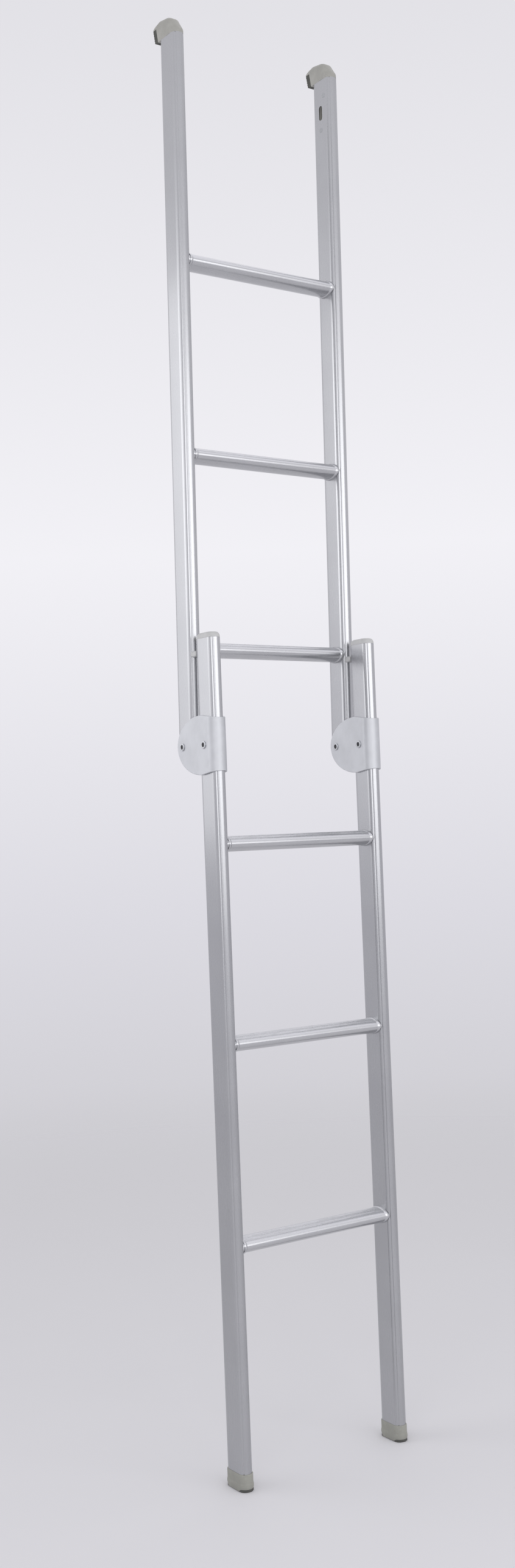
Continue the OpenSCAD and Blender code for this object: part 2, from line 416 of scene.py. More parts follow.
def moulded_plastic(shader, finish, base, dust):
    """Moulded plastic: spark-eroded grain, small flecks and dusty scrapes."""
    place = shader.place()
    grain = shader.noise(place, scale=1900.0, detail=3.0)
    clouds = shader.noise(place, scale=55.0, detail=4.0)
    flecks = shader.patches(place, scale=950.0, low=0.60, high=0.70, detail=1.0)
    scraped = shader.stretched(place, SCRAPE_STRETCH)
    scrapes = shader.patches(scraped, scale=1.0, low=0.60, high=0.72, detail=4.0, roughness=0.7)
    tone = shader.mottled(clouds, base, dark=0.92, light=1.08)
    specked = shader.blend(flecks * 0.25, tone, shade(base, 1.35))
    return {
        "Base Color": shader.blend(scrapes * dust, specked, shade(base, 1.3)),
        "Roughness": 0.50 + swing(grain, 0.12) + scrapes * 0.10,
        "Normal": shader.bump(grain + clouds * 0.5, distance=0.06 * MM, strength=0.5),
    }


def grained_rubber(shader, finish, base):
    """Rubber: matt, pebbled, with grey bloom."""
    place = shader.place()
    pebbles = shader.node(
        "ShaderNodeTexVoronoi",
        {"feature": "SMOOTH_F1"},
        {"Vector": place, "Scale": 1400.0, "Smoothness": 0.6},
        output="Distance",
    )
    bloom = shader.patches(place, scale=120.0, low=0.45, high=0.7, detail=5.0, roughness=0.65)
    return {
        "Base Color": shader.blend(bloom * 0.45, base, shade(base, 2.2)),
        "Roughness": 0.78 + bloom * 0.12,
        "Normal": shader.bump(pebbles, distance=0.08 * MM, strength=0.6),
    }


def turned_steel(shader, finish, base):
    """Plated steel turned about X; the socket in the middle of each head is coloured dark, as painted shade
    in its recess.
    """
    place = shader.place()
    flat = shader.node("ShaderNodeVectorMath", {"operation": "MULTIPLY"}, {0: place, 1: (0.0, 1.0, 1.0)})
    radius = shader.length(flat)
    spread = shader.node("ShaderNodeCombineXYZ", inputs={"X": radius * RING_STRETCH})
    rings = shader.noise(spread, scale=1.0, detail=2.0)
    spots = shader.patches(place, scale=420.0, low=0.55, high=0.7, detail=4.0)
    # Painted shade: the socket recess is coloured dark, with less metal and more roughness there.
    soft = PIN_SOCKET * PAINTED_SOCKET_SHADE_SOFTNESS
    dark = 1.0 - shader.between(radius, PIN_SOCKET - soft, PIN_SOCKET + soft)
    tone = shader.blend(spots * 0.3, base, shade(base, 0.7))
    return {
        "Base Color": shader.blend(dark, tone, tuple(finish.socket)),
        "Metallic": 1.0 - dark * 0.6,
        "Roughness": 0.30 + rings * 0.10 + dark * 0.25,
        "Normal": shader.bump(rings, distance=0.03 * MM, strength=0.4),
    }


def milky_nylon(shader, finish, base):
    """Natural nylon: milky and slightly hazy."""
    haze = shader.noise(shader.place(), scale=260.0, detail=4.0)
    return {
        "Base Color": shader.mottled(haze, base, dark=0.92, light=1.0),
        "Roughness": 0.38 + haze * 0.12,
        "Subsurface Weight": 0.1,
        "Normal": shader.bump(haze, distance=0.04 * MM, strength=0.4),
    }


# Each finish: the function that builds it, the property with its colour, and what else the function takes
FINISHES = {
    "anodised_stile": (drawn_metal, "aluminium", LENGTHWISE),
    "trodden_rung": (trodden_metal, "rung", CROSSWISE),
    "blasted_bracket": (blasted_metal, "bracket"),
    "rivet_aluminium": (blasted_metal, "rivet"),
    "turned_steel": (turned_steel, "steel"),
    "moulded_cap": (moulded_plastic, "cap", 0.25),
    "moulded_buffer": (moulded_plastic, "buffer", 0.2),
    "moulded_foot": (moulded_plastic, "foot", 0.6),
    "moulded_plug": (moulded_plastic, "plug", 0.3),
    "milky_nylon": (milky_nylon, "nylon"),
    "grained_rubber": (grained_rubber, "rubber"),
}


def get_finish(name):
    """Makes one of the finishes as a material, or finds it."""
    found = bpy.data.materials.get(name)
    if found:
        return found
    build, tint, *rest = FINISHES[name]
    finish = bpy.context.scene.ladder_finish
    material = bpy.data.materials.new(name)
    material.use_nodes = True
    shader = Shader(material.node_tree)
    sockets = build(shader, finish, tuple(getattr(finish, tint)), *rest)
    surface = shader.node("ShaderNodeBsdfPrincipled", inputs=sockets)
    shader.node("ShaderNodeOutputMaterial", inputs={"Surface": surface})
    return material


# ---- meshes from rings of points ----


class Shell:
    """A closed mesh put together from rings of points."""

    def __init__(self):
        self.mesh = bmesh.new()

    def ring(self, points):
        """Adds a ring of vertices."""
        return [self.mesh.verts.new(point) for point in points]

    def strip(self, one, other):
        """Joins two rings of the same count with four-sided faces."""
        for index in range(len(one)):
            after = (index + 1) % len(one)
            self.mesh.faces.new((one[index], one[after], other[after], other[index]))

    def loft(self, outlines, hollow=False):
        """Skins a list of outlines; a hollow loft joins its last outline to its first."""
        rings = [self.ring(points) for points in outlines]
        for one, other in zip(rings, rings[1:]):
            self.strip(one, other)
        if hollow:
            self.strip(rings[-1], rings[0])
        else:
            self.mesh.faces.new(rings[0])
            self.mesh.faces.new(rings[-1])
        return self

    def mirrored(self):
        """The same shell for the other side."""
        bmesh.ops.scale(self.mesh, vec=(-1.0, 1.0, 1.0), verts=self.mesh.verts)
        return self

    def data(self, name):
        """The finished mesh data, with its faces turned outwards."""
        bmesh.ops.recalc_face_normals(self.mesh, faces=self.mesh.faces)
        made = bpy.data.meshes.new(name)
        self.mesh.to_mesh(made)
        self.mesh.free()
        return made


def settle(piece):
    """Turns a piece's modifiers into its final mesh."""
    graph = bpy.context.evaluated_depsgraph_get()
    done = bpy.data.meshes.new_from_object(piece.evaluated_get(graph))
    old = piece.data
    piece.modifiers.clear()
    piece.data = done
    bpy.data.meshes.remove(old)


def combine(piece, other, operation):
    """Adds another shell to a piece or cuts it away."""
    tool = bpy.data.objects.new("tool", other.data("tool"))
    bpy.context.scene.collection.objects.link(tool)
    tool.matrix_world = piece.matrix_world
    step = piece.modifiers.new("combine", "BOOLEAN")
    step.operation = operation
    step.solver = "EXACT"
    step.object = tool
    settle(piece)
    data = tool.data
    bpy.data.objects.remove(tool)
    bpy.data.meshes.remove(data)


SMOOTH_ANGLE = math.radians(32)


def smooth(piece):
    """Shades a piece smoothly between its real edges, with flat faces kept flat."""
    piece.data.shade_smooth()
    piece.data.set_sharp_from_angle(angle=SMOOTH_ANGLE)
    step = piece.modifiers.new("normals", "WEIGHTED_NORMAL")
    step.keep_sharp = True
    settle(piece)


def add_piece(node, suffix, shell, place, finish, cuts=None, joined=None):
    """Makes a piece in its own frame, gives it its finish, and lets it stand for its CAD node."""
    name = f"{node}_{suffix}"
    piece = bpy.data.objects.new(name, shell.data(name))
    bpy.context.scene.collection.objects.link(piece)
    piece.matrix_world = place
    bpy.context.view_layer.update()
    if joined:
        combine(piece, joined, "UNION")
    if cuts:
        combine(piece, cuts, "DIFFERENCE")
    smooth(piece)
    piece.data.name = name
    piece.data.materials.clear()
    piece.data.materials.append(get_finish(finish))
    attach(piece, frame["nodes"][node]["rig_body"])
    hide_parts(node)


def add_pair(stem, suffix, make, finish, cuts=None, joined=None):
    """Makes a piece for each side; shapes are drawn for the left side, with +X inwards."""
    for side in ("left", "right"):
        node = f"{stem}_{side}"
        shells = [build() if build else None for build in (make, cuts, joined)]
        if side == "right":
            shells = [shell.mirrored() if shell else None for shell in shells]
        add_piece(node, suffix, shells[0], side_place(node), finish, cuts=shells[1], joined=shells[2])


# ---- outlines ----


def stadium(half, reach, turns):
    """Outline in (x, y) with two straight sides and two half-round noses."""
    points = []
    for end in (1, -1):
        for turn in turns:
            points.append((end * half * math.cos(turn), end * (reach - half + half * math.sin(turn))))
    return points


def even_turns(steps, whole=HALF_TURN):
    """Angles in even steps from nothing to the whole, both included."""
    return [whole * step / steps for step in range(steps + 1)]


def at_height(outline, z):
    """An outline in (x, y), placed at a height."""
    return [(x, y, z) for x, y in outline]


def oval_outline(half_depth, half_height, steps):
    """Oval in (y, z)."""
    angles = [2 * HALF_TURN * step / steps for step in range(steps)]
    return [(half_depth * math.cos(angle), half_height * math.sin(angle)) for angle in angles]


def at_width(outline, x):
    """An outline in (y, z), placed at a distance along X."""
    return [(x, y, z) for y, z in outline]


def add_prism(shell, outline, low, high):
    """Adds an outline in (y, z) carried from one x to another."""
    shell.loft([at_width(outline, low), at_width(outline, high)])


def add_turned(shell, profile, middle_point, steps=48):
    """Adds a solid turned about X from (x, radius) pairs."""
    rings = []
    for x, radius in profile:
        circle = oval_outline(radius, radius, steps)
        rings.append([(x, middle_point[0] + y, middle_point[1] + z) for y, z in circle])
    shell.loft(rings)


def arc_points(centre, radius, start, stop, steps):
    """Points on an arc in (y, z), both ends included; angles in degrees."""
    points = []
    for step in range(steps + 1):
        angle = math.radians(start + (stop - start) * step / steps)
        points.append((centre[0] + radius * math.cos(angle), centre[1] + radius * math.sin(angle)))
    return points


SHARPEST = 0.5


def edge_normals(outline):
    """Outward normal at each point of an outline that goes round anticlockwise, longer at its corners."""
    count = len(outline)
    normals = []
    for index in range(count):
        before = Vector(outline[index - 1])
        here = Vector(outline[index])
        after = Vector(outline[(index + 1) % count])
        ahead = (after - here).normalized()
        behind = (here - before).normalized()
        along = (ahead + behind).normalized()
        spread = max(along.dot(ahead), SHARPEST)
        normals.append(Vector((along.y, -along.x)) / spread)
    return normals


def rounded_plate(outline, radii, half_width, steps, normals=None):
    """Plate across X whose edges are rounded by a radius given for each outline point."""
    normals = normals or edge_normals(outline)
    turns = even_turns(steps, QUARTER_TURN)
    rings = []
    for side, order in ((-1, reversed(turns)), (1, turns)):
        for turn in order:
            ring = []
            for point, normal, radius in zip(outline, normals, radii):
                inset = radius * (1 - math.cos(turn))
                x = side * (half_width - radius * (1 - math.sin(turn)))
                ring.append((x, point[0] - normal.x * inset, point[1] - normal.y * inset))
            rings.append(ring)
    return Shell().loft(rings)


# ---- stiles ----


PIVOT_BORE = 7.05 * MM
BOLT_BORE = 4.05 * MM
RIVET_BORE = 2.05 * MM
SOCKET_FIT = 0.2 * MM
LATCH_DROP = 50 * MM
LATCH_HALF = 4 * MM
LATCH_REACH = 11 * MM
RIVET_PLACES = [(-8 * MM, TUBE_TOP - 25 * MM), (0.0, TUBE_TOP - 76 * MM)]
NOSE_STEPS = 36
FLUTE_STEPS = 5
FLUTE_MARGIN = 1.15


def flute_turns(shape):
    """Angles round a nose, closer together across its two flutes."""
    half = shape.flute_width / STILE_HALF / 2
    flutes = [QUARTER_TURN - shape.flute_angle, QUARTER_TURN + shape.flute_angle]
    margin = FLUTE_MARGIN * half
    plain = [turn for turn in even_turns(NOSE_STEPS) if min(abs(turn - flute) for flute in flutes) > margin]
    steps = range(-FLUTE_STEPS, FLUTE_STEPS + 1)
    close = [flute + half * step / FLUTE_STEPS for flute in flutes for step in steps]
    return sorted(plain + close), flutes, half


def fluted_outline(shape):
    """A stile's outer outline, with two flutes along each nose."""
    turns, flutes, half = flute_turns(shape)
    points = []
    for end in (1, -1):
        for turn in turns:
            nearest = min(abs(turn - flute) for flute in flutes)
            sink = shape.flute_depth * (0.5 + 0.5 * math.cos(HALF_TURN * min(nearest / half, 1.0)))
            radius = STILE_HALF - sink
            height = STILE_REACH - STILE_HALF + radius * math.sin(turn)
            points.append((end * radius * math.cos(turn), end * height))
    return points


def stile_tube(shape, box):
    """A hollow fluted stile as long as its node."""
    outer = fluted_outline(shape)
    inner = stadium(STILE_HALF - shape.stile_wall, STILE_REACH - shape.stile_wall, flute_turns(shape)[0])
    low, high = box[0].z, box[1].z
    outlines = [at_height(outer, low), at_height(outer, high), at_height(inner, high), at_height(inner, low)]
    return Shell().loft(outlines, hollow=True)


def add_sockets(shell, rungs):
    """Adds the oval openings that the rungs pass through in a stile's inner wall."""
    for rung in rungs:
        low, high = local_box(rung, place_of(rung))
        half_depth = (high.y - low.y) / 2 + SOCKET_FIT
        half_height = (high.z - low.z) / 2 + SOCKET_FIT
        centre = (low.z + high.z) / 2
        outline = [(y, z + centre) for y, z in oval_outline(half_depth, half_height, steps=64)]
        add_prism(shell, outline, STILE_HALF / 4, STILE_HALF * 2)


def latch_outline():
    """The latch slot's outline in (y, z)."""
    outline = stadium(LATCH_HALF, LATCH_REACH, even_turns(steps=12))
    return [(y, z + TUBE_TOP - LATCH_DROP) for y, z in outline]


def add_bore(shell, radius, place=(0.0, 0.0), start=-2 * STILE_HALF, steps=48):
    """Adds a bore along X, from its start to well past a stile's inner face."""
    add_turned(shell, [(start, radius), (2 * STILE_HALF, radius)], place, steps)


def lower_stile_cuts():
    """The openings in a lower stile."""
    shell = Shell()
    add_sockets(shell, ("rung_4", "rung_5", "rung_6"))
    add_bore(shell, BOLT_BORE)
    return shell


def upper_stile_cuts():
    """The openings in an upper stile, with those for its cap's rivets and latch."""
    shell = Shell()
    add_sockets(shell, ("rung_1", "rung_2", "rung_3"))
    add_bore(shell, PIVOT_BORE)
    add_prism(shell, latch_outline(), STILE_HALF / 2, 2 * STILE_HALF)
    for place in RIVET_PLACES:
        add_bore(shell, RIVET_BORE, place, start=STILE_HALF / 2, steps=24)
    return shell


class LADDER_OT_stiles(Operator):
    """Draw the four fluted stiles and cut their sockets and bores"""

    bl_idname = "ladder.stiles"
    bl_label = "Stiles"

    def execute(self, context):
        shape = context.scene.ladder_shape
        for stem, box, cuts in (
            ("upper_stile", UPPER_TUBE, upper_stile_cuts),
            ("lower_stile", LOWER_TUBE, lower_stile_cuts),
        ):
            make = partial(stile_tube, shape, box)
            add_pair(stem, "extrusion", make, "anodised_stile", cuts=cuts)
        return {"FINISHED"}


# ---- rungs ----


RUNGS = 6
TREAD_HALF = 0.62
RIB_STEPS = 8
PLAIN_STEPS = 56
COLLAR_PROFILE = [(0.0, 0.85), (0.25, 1.0), (0.6, 0.9), (0.85, 0.35), (1.0, 0.0)]
COLLAR_START = 0.05 * MM
COLLAR_RUNOUT = 0.4 * MM


def tread_outline(shape, half_depth, half_height, swell=0.0, ribbed=False):
    """A rung's oval, grown by the swell, with ribs along its top where they are wanted."""
    edge = math.acos(TREAD_HALF)
    top = HALF_TURN - 2 * edge
    steps = shape.tread_ribs * RIB_STEPS
    angles = [edge + turn for turn in even_turns(steps, top)]
    angles += [edge + top + turn for turn in even_turns(PLAIN_STEPS, 2 * HALF_TURN - top)[1:-1]]
    points = []
    for angle in angles:
        share = (angle - edge) / top
        valley = 0.0
        if ribbed and share < 1:
            valley = shape.rib_height * (0.5 - 0.5 * math.cos(2 * HALF_TURN * shape.tread_ribs * share))
        point = Vector((half_depth * math.cos(angle), half_height * math.sin(angle)))
        outward = Vector((math.cos(angle) / half_depth, math.sin(angle) / half_height)).normalized()
        points.append(tuple(point + outward * (swell - valley)))
    return points


def rung_tube(shape, low, high):
    """A hollow ribbed rung with a swaged collar beside each stile."""
    half_depth = (high.y - low.y) / 2
    half_height = (high.z - low.z) / 2
    centre = (low.z + high.z) / 2
    wall_x = STILE_X - STILE_HALF
    tread = tread_outline(shape, half_depth, half_height, ribbed=True)
    stations = [(high.x, tread), (wall_x + COLLAR_START, tread)]
    for share, swell in COLLAR_PROFILE:
        outline = tread_outline(shape, half_depth, half_height, swell * shape.collar_swell)
        stations.append((wall_x - share * shape.collar_width, outline))
    stations.append((wall_x - shape.collar_width - COLLAR_RUNOUT, tread))
    stations += [(-x, outline) for x, outline in reversed(stations)]
    inner = tread_outline(shape, half_depth - shape.rung_wall, half_height - shape.rung_wall)
    stations += [(low.x, inner), (high.x, inner)]
    outlines = [[(x, y, z + centre) for y, z in outline] for x, outline in stations]
    return Shell().loft(outlines, hollow=True)


class LADDER_OT_rungs(Operator):
    """Draw the six ribbed oval rungs with their swaged collars"""

    bl_idname = "ladder.rungs"
    bl_label = "Rungs"

    def execute(self, context):
        for number in range(1, RUNGS + 1):
            node = f"rung_{number}"
            place = place_of(node)
            shell = rung_tube(context.scene.ladder_shape, *local_box(node, place))
            add_piece(node, "tube", shell, place, "trodden_rung")
        return {"FINISHED"}


# ---- top caps, pads and rivets ----


HOOD_Z = 21 * MM
SHOULDER = ((-12 * MM, 2 * MM), 10 * MM)
DOME = ((3 * MM, 10 * MM), 17.5 * MM)
CROWN = ((18 * MM, 18 * MM), 12 * MM)
LUG = ((27 * MM, 19 * MM), 9 * MM)
SPIGOT_LENGTH = 85 * MM
SPIGOT_GAP = 0.2 * MM
SPIGOT_OVERLAP = 2 * MM
LATCH_DEPTH = 5.8 * MM
RIVET_DEPTH = 7 * MM
BACK_FACE = [(22.5 * MM, 0.0), (27 * MM, HOOD_Z)]
LUG_BACK = LUG[0][0] + LUG[1]
LUG_TOE = [(LUG_BACK - 1.6 * MM, HOOD_Z), (LUG_BACK - 0.8 * MM, HOOD_Z + 0.5 * MM)]
LUG_START = 22
CAP_ARC_STEPS = 8
SEAT_EDGE = 0.5 * MM
HOOD_EDGE = 0.6 * MM
HOOD_SPREAD = 0.6
FACES_DOWN = -0.2
NOSE_POWER = 1.5


def tangent_angle(front, rear):
    """Direction in degrees of the normal where two circles share their upper tangent."""
    (front_y, front_z), front_r = front
    (rear_y, rear_z), rear_r = rear
    slope = math.atan2(rear_z - front_z, rear_y - front_y)
    opening = math.asin((rear_r - front_r) / math.hypot(rear_z - front_z, rear_y - front_y))
    return 90 + math.degrees(slope + opening)


def cap_edge(shape, point, normal):
    """Radius of a top cap's side edge at a point of its outline: largest at its front nose."""
    y, z = point
    if normal.y < FACES_DOWN and z > MM:
        return HOOD_EDGE
    if z <= 0.0 and y > -STILE_REACH:
        return SEAT_EDGE
    facing = max(0.0, -normal.normalized().x)
    radius = shape.cap_edge + (STILE_HALF - shape.cap_edge) * facing**NOSE_POWER
    if y > BACK_FACE[1][0] and z > HOOD_Z:
        radius = min(radius, HOOD_SPREAD * (MM + z - HOOD_Z))
    return radius


def top_cap_body(shape):
    """A top cap from the side, anticlockwise in (y, z) from its front lower corner, with rounded edges."""
    points = [(-STILE_REACH, 0.0), (0.0, 0.0), (STILE_REACH, 0.0), *BACK_FACE, *LUG_TOE]
    turns = [
        LUG_START, tangent_angle(CROWN, LUG), tangent_angle(DOME, CROWN), tangent_angle(SHOULDER, DOME), 180
    ]
    for (centre, radius), start, stop in zip((LUG, CROWN, DOME, SHOULDER), turns, turns[1:]):
        points += arc_points(centre, radius, start, stop, CAP_ARC_STEPS)
    normals = edge_normals(points)
    normals[0] = Vector((-1.0, 0.0))
    radii = [cap_edge(shape, point, normal) for point, normal in zip(points, normals)]
    placed = [(y, z + TUBE_TOP) for y, z in points]
    return rounded_plate(placed, radii, STILE_HALF, steps=8, normals=normals)


def spigot(shape):
    """The tongue of a top cap inside its stile."""
    gap = shape.stile_wall + SPIGOT_GAP
    outline = stadium(STILE_HALF - gap, STILE_REACH - gap, even_turns(steps=16))
    low, high = TUBE_TOP - SPIGOT_LENGTH, TUBE_TOP + SPIGOT_OVERLAP
    return Shell().loft([at_height(outline, low), at_height(outline, high)])


def top_cap_cuts():
    """The latch slot and the rivet bores in a top cap's tongue."""
    shell = Shell()
    add_prism(shell, latch_outline(), STILE_HALF - LATCH_DEPTH, 2 * STILE_HALF)
    for place in RIVET_PLACES:
        add_bore(shell, RIVET_BORE, place, start=STILE_HALF - RIVET_DEPTH, steps=24)
    return shell


class LADDER_OT_top_caps(Operator):
    """Mould the two top caps with their lugs and tongues"""

    bl_idname = "ladder.top_caps"
    bl_label = "Top caps"

    def execute(self, context):
        shape = context.scene.ladder_shape
        add_pair(
            "top_cap", "moulding", partial(top_cap_body, shape), "moulded_cap",
            cuts=top_cap_cuts, joined=partial(spigot, shape),
        )
        return {"FINISHED"}


PAD_FRONT = [(22.5 * MM, 0.0), (31.46 * MM, 1.5 * MM)]
PAD_BACK = [(36 * MM, HOOD_Z), (27 * MM, HOOD_Z)]
PAD_HALF = 9.5 * MM
PAD_EDGE = 0.35 * MM
PAD_GROOVES = 5
PAD_GROOVE_DEPTH = 0.7 * MM
PAD_GROOVE_STEPS = 8


def rest_pad():
    """A rubber pad under a lug, with grooves across its resting face."""
    start = Vector(PAD_FRONT[1])
    along = Vector(PAD_BACK[0]) - start
    inward = Vector((-along.y, along.x)).normalized()
    points = [PAD_FRONT[0]]
    steps = PAD_GROOVES * PAD_GROOVE_STEPS
    for step in range(steps + 1):
        share = step / steps
        wave = max(0.0, -math.cos(2 * HALF_TURN * PAD_GROOVES * share))
        points.append(tuple(start + along * share + inward * wave * PAD_GROOVE_DEPTH))
    points.append(PAD_BACK[1])
    placed = [(y, z + TUBE_TOP) for y, z in points]
    return rounded_plate(placed, [PAD_EDGE] * len(placed), PAD_HALF, steps=3)


class LADDER_OT_rest_pads(Operator):
    """Mould the grooved rubber pads that rest against a wall"""

    bl_idname = "ladder.rest_pads"
    bl_label = "Rest pads"

    def execute(self, context):
        add_pair("rest_pad", "rubber", rest_pad, "grained_rubber")
        return {"FINISHED"}


RIVET_SHANK = 2 * MM
RIVET_LENGTH = 6.5 * MM
RIVET_HEAD = 3.6 * MM
RIVET_DOME = 0.9 * MM
DOME_STEPS = 6
TIP_RADIUS = 0.05 * MM


def rivet_profile():
    """Half outline of a domed rivet on a left stile's inner face."""
    dome = []
    for turn in even_turns(DOME_STEPS, QUARTER_TURN):
        dome.append((STILE_HALF + RIVET_DOME * math.sin(turn), max(RIVET_HEAD * math.cos(turn), TIP_RADIUS)))
    return [(STILE_HALF - RIVET_LENGTH, RIVET_SHANK), (STILE_HALF, RIVET_SHANK), *dome]


class LADDER_OT_cap_rivets(Operator):
    """Set the four domed rivets that hold the top caps"""

    bl_idname = "ladder.cap_rivets"
    bl_label = "Cap rivets"

    def execute(self, context):
        shell = Shell()
        for side in (1, -1):
            profile = [(side * (x - STILE_X), radius) for x, radius in rivet_profile()]
            for place in RIVET_PLACES:
                add_turned(shell, profile, place, steps=28)
        add_piece("cap_rivets", "domed", shell, UPPER, "rivet_aluminium")
        return {"FINISHED"}


# ---- hinge ----


BRACKET_BOX = local_box("hinge_bracket_left", side_place("hinge_bracket_left"))
SHEET = 3 * MM
CHEEK_OUT = BRACKET_BOX[1].x
CHEEK_IN = CHEEK_OUT - SHEET
BRACKET_FRONT = BRACKET_BOX[0].y
BRACKET_BACK = BRACKET_BOX[1].y
BRACKET_HALF_H = BRACKET_BOX[1].z
FRONT_HALF_H = 37.5 * MM
OVAL_MIDDLE = 8 * MM
CORNER = 13.5 * MM
CORNER_RUN = 2 * MM
CORNER_SHARE = 0.92
SLEEVE_END = 12 * MM
SLEEVE_STEP = 0.1 * MM
FIT = 0.05 * MM
SLEEVE_HALF = STILE_HALF + FIT
NOSE_Y = STILE_HALF - STILE_REACH
PIVOT_Y = (UPPER.translation - LOWER.translation).y
CHEEK_STEPS = 18
CORNER_STEPS = 12
RIM_STEPS = 4


def bracket_stations():
    """Outer and inner points in (x, y) along half of the bent plate, from a cheek's tip to the front."""
    stations = []
    for turn in reversed(even_turns(CHEEK_STEPS, QUARTER_TURN)):
        y = OVAL_MIDDLE + (BRACKET_BACK - OVAL_MIDDLE) * math.sin(turn)
        if y > SLEEVE_END + 3 * SLEEVE_STEP:
            stations.append(((-CHEEK_OUT, y), (-CHEEK_IN, y)))
    corner_y = BRACKET_FRONT + CORNER
    for y, inner_x in (
        (SLEEVE_END + SLEEVE_STEP, CHEEK_IN),
        (SLEEVE_END - SLEEVE_STEP, SLEEVE_HALF),
        (OVAL_MIDDLE, SLEEVE_HALF),
        (corner_y + CORNER_RUN, SLEEVE_HALF),
    ):
        stations.append(((-CHEEK_OUT, y), (-inner_x, y)))
    for turn in even_turns(CORNER_STEPS, QUARTER_TURN):
        outer = (CORNER - CHEEK_OUT - CORNER * math.cos(turn), corner_y - CORNER * math.sin(turn))
        bend = CORNER_SHARE * turn
        stations.append((outer, (-SLEEVE_HALF * math.cos(bend), NOSE_Y - SLEEVE_HALF * math.sin(bend))))
    stations.append(((0.0, BRACKET_FRONT), (0.0, NOSE_Y - SLEEVE_HALF)))
    return stations


def rim_height(y):
    """Half height of the bracket at a distance from the lower stile's middle."""
    if y > OVAL_MIDDLE:
        share = min((y - OVAL_MIDDLE) / (BRACKET_BACK - OVAL_MIDDLE), 1.0)
        return BRACKET_HALF_H * math.sqrt(1 - share * share)
    share = (OVAL_MIDDLE - y) / (OVAL_MIDDLE - BRACKET_FRONT)
    return BRACKET_HALF_H + (FRONT_HALF_H - BRACKET_HALF_H) * share


def bracket_plate(shape):
    """The bent plate: a flat pattern with rounded rims, carried round the stile."""
    half = bracket_stations()
    stations = half + [
        ((-outer[0], outer[1]), (-inner[0], inner[1])) for outer, inner in reversed(half[:-1])
    ]
    run = [0.0]
    for (one, _), (other, _) in zip(stations, stations[1:]):
        run.append(run[-1] + math.dist(one, other))
    upper = [(along, rim_height(outer[1])) for along, (outer, _) in zip(run, stations)]
    loop = upper + [(along, -height) for along, height in reversed(upper[1:-1])]
    normals = edge_normals(loop[::-1])[::-1]
    shell = Shell()
    rings = []
    turns = even_turns(RIM_STEPS, QUARTER_TURN)
    for outside, order in ((True, turns), (False, reversed(turns))):
        for turn in order:
            inset = shape.plate_edge * (1 - math.sin(turn))
            depth = shape.plate_edge * (1 - math.cos(turn))
            rings.append(shell.ring(bent_ring(stations, loop, normals, inset, depth, outside)))
    for one, other in zip(rings, rings[1:]):
        shell.strip(one, other)
    for ring in (rings[0], rings[-1]):
        fill_side(shell, ring, len(stations))
    return shell


def fill_side(shell, ring, count):
    """Closes one side of the plate with a face between each station and the next."""
    total = len(ring)
    for index in range(count - 1):
        corners = [ring[index], ring[index + 1], ring[total - index - 1], ring[(total - index) % total]]
        if index == count - 2:
            del corners[2]
        shell.mesh.faces.new(list(dict.fromkeys(corners)))


def bent_ring(stations, loop, normals, inset, depth, outside):
    """One ring of the plate's rim: pattern points moved inwards, then carried round the bend."""
    points = []
    for index, ((_, height), normal) in enumerate(zip(loop, normals)):
        at = index if index < len(stations) else len(loop) - index
        outer = Vector(stations[at][0])
        inner = Vector(stations[at][1])
        through = (inner - outer).normalized() * depth
        base = outer + through if outside else inner - through
        moved = base - run_direction(stations, at) * normal.x * inset
        points.append((moved.x, moved.y, height - normal.y * inset))
    return points


def run_direction(stations, at):
    """Direction along the bend at a station."""
    one = Vector(stations[max(at - 1, 0)][0])
    other = Vector(stations[min(at + 1, len(stations) - 1)][0])
    return (other - one).normalized()


def bracket_cuts():
    """The bores for a bracket's bolt and its pivot pin."""
    shell = Shell()
    for y in (0.0, PIVOT_Y):
        add_turned(shell, [(-2 * CHEEK_OUT, BOLT_BORE), (2 * CHEEK_OUT, BOLT_BORE)], (y, 0.0))
    return shell


class LADDER_OT_brackets(Operator):
    """Bend the two hinge brackets round the lower stiles"""

    bl_idname = "ladder.brackets"
    bl_label = "Hinge brackets"

    def execute(self, context):
        make = partial(bracket_plate, context.scene.ladder_shape)
        add_pair(
            "hinge_bracket", "pressing", make, "blasted_bracket", cuts=bracket_cuts
        )
        return {"FINISHED"}


PIN_RADIUS = 4 * MM
PIN_HEAD = 5.5 * MM
PIN_HEAD_HEIGHT = 1.6 * MM
PIN_SOCKET = 3.2 * MM
PIN_SOCKET_DEPTH = 1.2 * MM
PIN_SOCKET_TIP = 0.1 * MM
PIN_BEVEL = 0.3 * MM
PIN_ROUND = 0.6 * MM
PIN_ROUND_STEPS = 4


def pin_profile():
    """Half outline of a pin, from the middle of one socket to the middle of the other."""
    face = CHEEK_OUT + PIN_HEAD_HEIGHT
    end = [(CHEEK_OUT, PIN_RADIUS), (CHEEK_OUT, PIN_HEAD)]
    for turn in even_turns(PIN_ROUND_STEPS, QUARTER_TURN):
        end.append((face - PIN_ROUND * (1 - math.sin(turn)), PIN_HEAD - PIN_ROUND * (1 - math.cos(turn))))
    end += [
        (face, PIN_SOCKET + PIN_BEVEL),
        (face - PIN_BEVEL, PIN_SOCKET),
        (face - PIN_SOCKET_DEPTH, PIN_SOCKET),
        (face - PIN_SOCKET_DEPTH, PIN_SOCKET_TIP),
    ]
    return [(-x, radius) for x, radius in reversed(end)] + end


class LADDER_OT_pins(Operator):
    """Turn the pivot pins and the bracket bolts"""

    bl_idname = "ladder.pins"
    bl_label = "Hinge pins"

    def execute(self, context):
        for node, y in (("pivot_pins", PIVOT_Y), ("bracket_bolts", 0.0)):
            shell = Shell()
            for x in (-STILE_X, STILE_X):
                add_turned(shell, [(x + along, radius) for along, radius in pin_profile()], (0.0, 0.0))
            place = LOWER @ Matrix.Translation((0, y, 0))
            add_piece(node, "turned", shell, place, "turned_steel")
        return {"FINISHED"}


